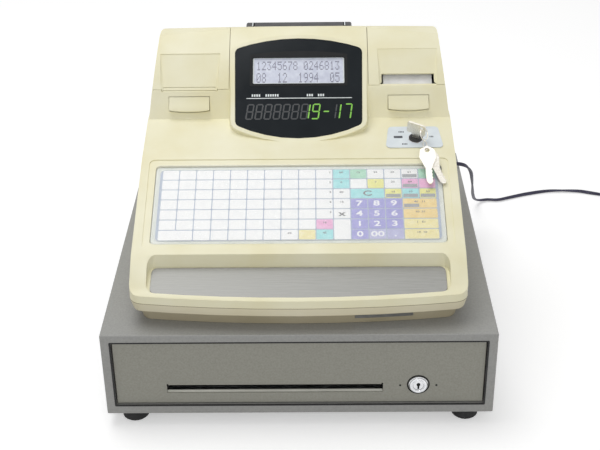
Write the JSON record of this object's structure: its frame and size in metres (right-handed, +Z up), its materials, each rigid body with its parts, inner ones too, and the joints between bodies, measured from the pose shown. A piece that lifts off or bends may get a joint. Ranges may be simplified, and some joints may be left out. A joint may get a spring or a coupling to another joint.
{
  "type": "ticket register",
  "caption": "Electronic ticket register on a steel cash drawer, with a flat membrane keyboard, hooded display, two paper bays, key switch and a mains cord.",
  "frame": {"origin": "middle of the drawer case's footprint, on the table under the rubber feet", "axes": "+X to the operator's right, +Y to the rear, towards the customer, +Z up"},
  "size_m": [0.8083, 0.5883, 0.338],
  "materials": {
    "case_grey": "satin",
    "front_grey": "satin",
    "zinc_steel": "satin",
    "chrome": "polished",
    "black_rubber": "matte",
    "black_plastic": "matte",
    "white_nylon": "satin",
    "cream": "satin",
    "tan": "satin",
    "brushed": "brushed",
    "clear": "clear",
    "sheet_white": "satin",
    "board_green": "satin",
    "black_gloss": "gloss",
    "lcd_grey": "satin",
    "pale_plate": "satin",
    "nickel": "satin",
    "paper": "matte",
    "cord_blue": "satin"
  },
  "bodies": {
    "register": {"drawer_case": "case_grey", "foot_front_left": "black_rubber", "foot_front_right": "black_rubber", "foot_rear_left": "black_rubber", "foot_rear_right": "black_rubber", "runner_left": "zinc_steel", "runner_right": "zinc_steel", "release_solenoid": "zinc_steel", "base_shell": "tan", "main_board": "board_green", "power_unit": "zinc_steel", "top_shell": "cream", "palm_plate": "brushed", "keyboard_board": "board_green", "key_sheet": "sheet_white", "keyboard_cover": "clear", "display_window": "black_gloss", "lcd_module": "lcd_grey", "digit_display": "board_green", "journal_printer": "zinc_steel", "receipt_printer": "zinc_steel", "receipt_paper": "paper", "mode_plate": "pale_plate", "mode_barrel": "black_plastic", "customer_bracket": "black_plastic", "cord_bushing": "black_rubber", "power_cord": "cord_blue", "cord_coil": "cord_blue", "cord_tie": "black_rubber", "mains_plug": "black_plastic"},
    "drawer": {"drawer_front": "front_grey", "drawer_pan": "zinc_steel", "lock_housing": "chrome", "cash_tray": "black_plastic"},
    "drawer_lock": {"lock_plug": "chrome", "lock_cam": "zinc_steel"},
    "note_clip_1": {"note_clip_1": "black_plastic"},
    "note_clip_2": {"note_clip_2": "black_plastic"},
    "note_clip_3": {"note_clip_3": "black_plastic"},
    "note_clip_4": {"note_clip_4": "black_plastic"},
    "roller_front_left": {"roller_front_left": "white_nylon"},
    "roller_front_right": {"roller_front_right": "white_nylon"},
    "roller_rear_left": {"roller_rear_left": "white_nylon"},
    "roller_rear_right": {"roller_rear_right": "white_nylon"},
    "release_latch": {"release_latch": "zinc_steel"},
    "journal_cover": {"journal_cover": "cream"},
    "receipt_cover": {"receipt_cover": "cream"},
    "journal_lever": {"journal_lever": "cream"},
    "receipt_lever": {"receipt_lever": "cream"},
    "journal_platen": {"journal_platen": "black_rubber"},
    "receipt_platen": {"receipt_platen": "black_rubber"},
    "journal_roll": {"journal_roll": "paper"},
    "take_up_spool": {"take_up_spool": "black_plastic"},
    "receipt_roll": {"receipt_roll": "paper"},
    "mode_switch": {"mode_plug": "black_plastic", "mode_key": "nickel"},
    "key_bunch": {"key_ring": "nickel", "spare_key_1": "nickel", "spare_key_2": "nickel"},
    "customer_display": {"customer_display": "black_plastic"}
  },
  "joints": [
    {"name": "drawer_slide", "type": "slide", "parent": "register", "child": "drawer", "axis": [0, -1, 0], "range_m": [0, 0.3]},
    {"name": "drawer_lock_turn", "type": "hinge", "parent": "drawer", "child": "drawer_lock", "pos_m": [0.128, -0.2125, 0.0515], "axis": [0, -1, 0], "range_deg": [0, 90]},
    {"name": "note_clip_1_lift", "type": "hinge", "parent": "drawer", "child": "note_clip_1", "pos_m": [-0.13778, 0.1403, 0.0858], "axis": [-1, 0, 0], "range_deg": [0, 24], "stiffness_Nm_per_rad": 0.03, "springref_deg": -22.92},
    {"name": "note_clip_2_lift", "type": "hinge", "parent": "drawer", "child": "note_clip_2", "pos_m": [-0.04593, 0.1403, 0.0858], "axis": [-1, 0, 0], "range_deg": [0, 24], "stiffness_Nm_per_rad": 0.03, "springref_deg": -22.92},
    {"name": "note_clip_3_lift", "type": "hinge", "parent": "drawer", "child": "note_clip_3", "pos_m": [0.04593, 0.1403, 0.0858], "axis": [-1, 0, 0], "range_deg": [0, 24], "stiffness_Nm_per_rad": 0.03, "springref_deg": -22.92},
    {"name": "note_clip_4_lift", "type": "hinge", "parent": "drawer", "child": "note_clip_4", "pos_m": [0.13778, 0.1403, 0.0858], "axis": [-1, 0, 0], "range_deg": [0, 24], "stiffness_Nm_per_rad": 0.03, "springref_deg": -22.92},
    {"name": "roller_front_left_turn", "type": "hinge", "parent": "register", "child": "roller_front_left", "pos_m": [-0.2004, -0.1833, 0.0613], "axis": [1, 0, 0], "range_deg": [0, 2150]},
    {"name": "roller_front_right_turn", "type": "hinge", "parent": "register", "child": "roller_front_right", "pos_m": [0.2004, -0.1833, 0.0613], "axis": [1, 0, 0], "range_deg": [0, 2150]},
    {"name": "roller_rear_left_turn", "type": "hinge", "parent": "drawer", "child": "roller_rear_left", "pos_m": [-0.2004, 0.1498, 0.0613], "axis": [1, 0, 0], "range_deg": [0, 2150]},
    {"name": "roller_rear_right_turn", "type": "hinge", "parent": "drawer", "child": "roller_rear_right", "pos_m": [0.2004, 0.1498, 0.0613], "axis": [1, 0, 0], "range_deg": [0, 2150]},
    {"name": "release_latch_drop", "type": "hinge", "parent": "register", "child": "release_latch", "pos_m": [0, 0.2045, 0.0618], "axis": [1, 0, 0], "range_deg": [0, 8.6], "stiffness_Nm_per_rad": 0.1, "springref_deg": -5.73},
    {"name": "journal_cover_lift", "type": "hinge", "parent": "register", "child": "journal_cover", "pos_m": [-0.1278, 0.1336, 0.3045], "axis": [-1, 0, 0], "range_deg": [0, 74]},
    {"name": "receipt_cover_lift", "type": "hinge", "parent": "register", "child": "receipt_cover", "pos_m": [0.1278, 0.1336, 0.3045], "axis": [-1, 0, 0], "range_deg": [0, 74]},
    {"name": "journal_lever_pull", "type": "hinge", "parent": "register", "child": "journal_lever", "pos_m": [-0.128, 0.04265, 0.27509], "axis": [-1, 0, 0], "range_deg": [0, 8.6], "stiffness_Nm_per_rad": 0.1, "springref_deg": -5.73},
    {"name": "receipt_lever_pull", "type": "hinge", "parent": "register", "child": "receipt_lever", "pos_m": [0.128, 0.04265, 0.27509], "axis": [-1, 0, 0], "range_deg": [0, 8.6], "stiffness_Nm_per_rad": 0.1, "springref_deg": -5.73},
    {"name": "journal_platen_turn", "type": "hinge", "parent": "register", "child": "journal_platen", "pos_m": [-0.1278, 0.0605, 0.2745], "axis": [1, 0, 0], "continuous": true},
    {"name": "receipt_platen_turn", "type": "hinge", "parent": "register", "child": "receipt_platen", "pos_m": [0.1278, 0.0605, 0.2745], "axis": [1, 0, 0], "continuous": true},
    {"name": "journal_roll_turn", "type": "hinge", "parent": "register", "child": "journal_roll", "pos_m": [-0.1278, 0.093, 0.2505], "axis": [1, 0, 0], "continuous": true},
    {"name": "take_up_spool_turn", "type": "hinge", "parent": "register", "child": "take_up_spool", "pos_m": [-0.1278, 0.096, 0.2905], "axis": [1, 0, 0], "continuous": true},
    {"name": "receipt_roll_turn", "type": "hinge", "parent": "register", "child": "receipt_roll", "pos_m": [0.1278, 0.0935, 0.2725], "axis": [1, 0, 0], "continuous": true},
    {"name": "mode_switch_turn", "type": "hinge", "parent": "register", "child": "mode_switch", "pos_m": [0.134, -0.007, 0.24501], "axis": [0, -0.2728, 0.9621], "range_deg": [-40, 40]},
    {"name": "key_bunch_lift", "type": "hinge", "parent": "mode_switch", "child": "key_bunch", "pos_m": [0.13947, -0.01457, 0.26105], "axis": [-1, 0, 0], "range_deg": [0, 20]},
    {"name": "customer_display_tilt", "type": "hinge", "parent": "register", "child": "customer_display", "pos_m": [0, 0.1498, 0.3135], "axis": [1, 0, 0], "range_deg": [0, 20]}
  ],
  "couplings": [
    {"joint": "roller_front_left_turn", "follows": "drawer_slide", "rad_per_m": 125},
    {"joint": "roller_front_right_turn", "follows": "drawer_slide", "rad_per_m": 125},
    {"joint": "roller_rear_left_turn", "follows": "drawer_slide", "rad_per_m": 125},
    {"joint": "roller_rear_right_turn", "follows": "drawer_slide", "rad_per_m": 125},
    {"joint": "journal_platen_turn", "follows": "journal_roll_turn", "ratio": 3.6},
    {"joint": "take_up_spool_turn", "follows": "journal_roll_turn", "ratio": 1.2857},
    {"joint": "receipt_platen_turn", "follows": "receipt_roll_turn", "ratio": 5.1}
  ]
}
